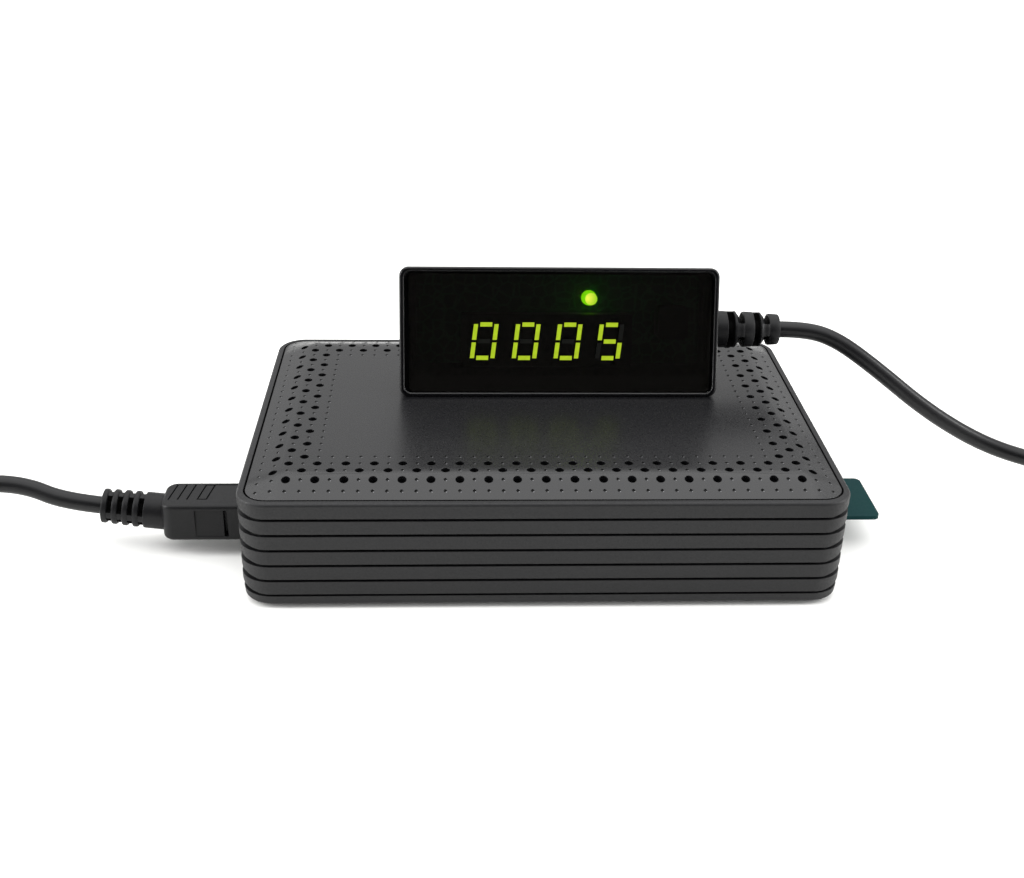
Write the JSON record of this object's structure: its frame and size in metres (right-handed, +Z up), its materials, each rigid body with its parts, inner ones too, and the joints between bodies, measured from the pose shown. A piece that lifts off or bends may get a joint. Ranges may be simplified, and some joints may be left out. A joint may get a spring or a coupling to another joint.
{
  "type": "satellite tv receiver",
  "caption": "Small box receiver with ridged sides and a perforated cover, a display unit on a lead, a smart card and a row of sockets along one side.",
  "frame": {"origin": "under the middle of the casing, on the sole of its middle rubber foot", "axes": "+X towards the side with the card, +Y towards the side with the sockets, +Z up"},
  "size_m": [0.2367, 0.1534, 0.0473],
  "materials": {
    "case_black": "fine spark-eroded matt",
    "cover_black": "satin",
    "foot_rubber": "matt",
    "board_green": "solder mask",
    "chip_black": "moulded",
    "steel": "zinc plated",
    "aluminium": "extruded",
    "nickel": "nickel plated",
    "gold": "gold plated",
    "insulator_grey": "moulded",
    "socket_black": "moulded",
    "socket_white": "moulded",
    "lamp_yellow": "clear lens",
    "lamp_green": "clear lens",
    "display_black": "polished",
    "window_smoke": "polished, tinted",
    "digit_lit": "lit",
    "led_lit": "lit",
    "card_teal": "printed, satin",
    "lead_black": "satin",
    "tie_black": "woven strap"
  },
  "bodies": {
    "receiver": {"lower_case": "case_black", "top_cover": "cover_black", "rubber_feet": "foot_rubber", "main_board": "board_green", "board_screws": "steel", "main_processor": "chip_black", "heat_sink": "aluminium", "memory_chips": "chip_black", "tuner_shield": "steel", "electrolytic_capacitors": "aluminium", "power_inductors": "chip_black", "crystal": "steel", "f_connector_body": "nickel", "f_connector_insulator": "insulator_grey", "f_connector_contact": "nickel", "hdmi_shell": "nickel", "hdmi_insulator": "socket_black", "usb_shell_left": "nickel", "usb_shell_right": "nickel", "usb_insulator_left": "socket_white", "usb_insulator_right": "socket_white", "ethernet_jack": "socket_black", "ethernet_contacts": "gold", "ethernet_lamp_yellow": "lamp_yellow", "ethernet_lamp_green": "lamp_green", "dc_jack": "socket_black", "dc_jack_pin": "nickel", "card_reader": "socket_black", "card_contacts": "gold", "display_socket": "nickel"},
    "card": {"smart_card": "card_teal"},
    "lead": {"cord_run_display": "lead_black", "cord_coil": "lead_black", "coil_tie": "tie_black", "cord_run_plug": "lead_black", "plug_relief": "lead_black", "plug_body": "lead_black", "plug_shell": "nickel"},
    "display": {"display_front": "display_black", "display_back": "display_black", "display_window": "window_smoke", "display_board": "board_green", "digit_module": "socket_black", "digit_segments": "digit_lit", "status_led": "led_lit", "ir_receiver": "chip_black", "display_relief": "lead_black"}
  },
  "joints": [
    {"name": "card_slide", "type": "slide", "parent": "receiver", "child": "card", "axis": [1, 0, 0], "range_m": [0, 0.015]},
    {"name": "plug_slide", "type": "slide", "parent": "receiver", "child": "lead", "axis": [-1, 0, 0], "range_m": [0, 0.012]},
    {"name": "display_lift", "type": "slide", "parent": "lead", "child": "display", "axis": [0, 0, 1], "range_m": [0, 0.04]}
  ]
}
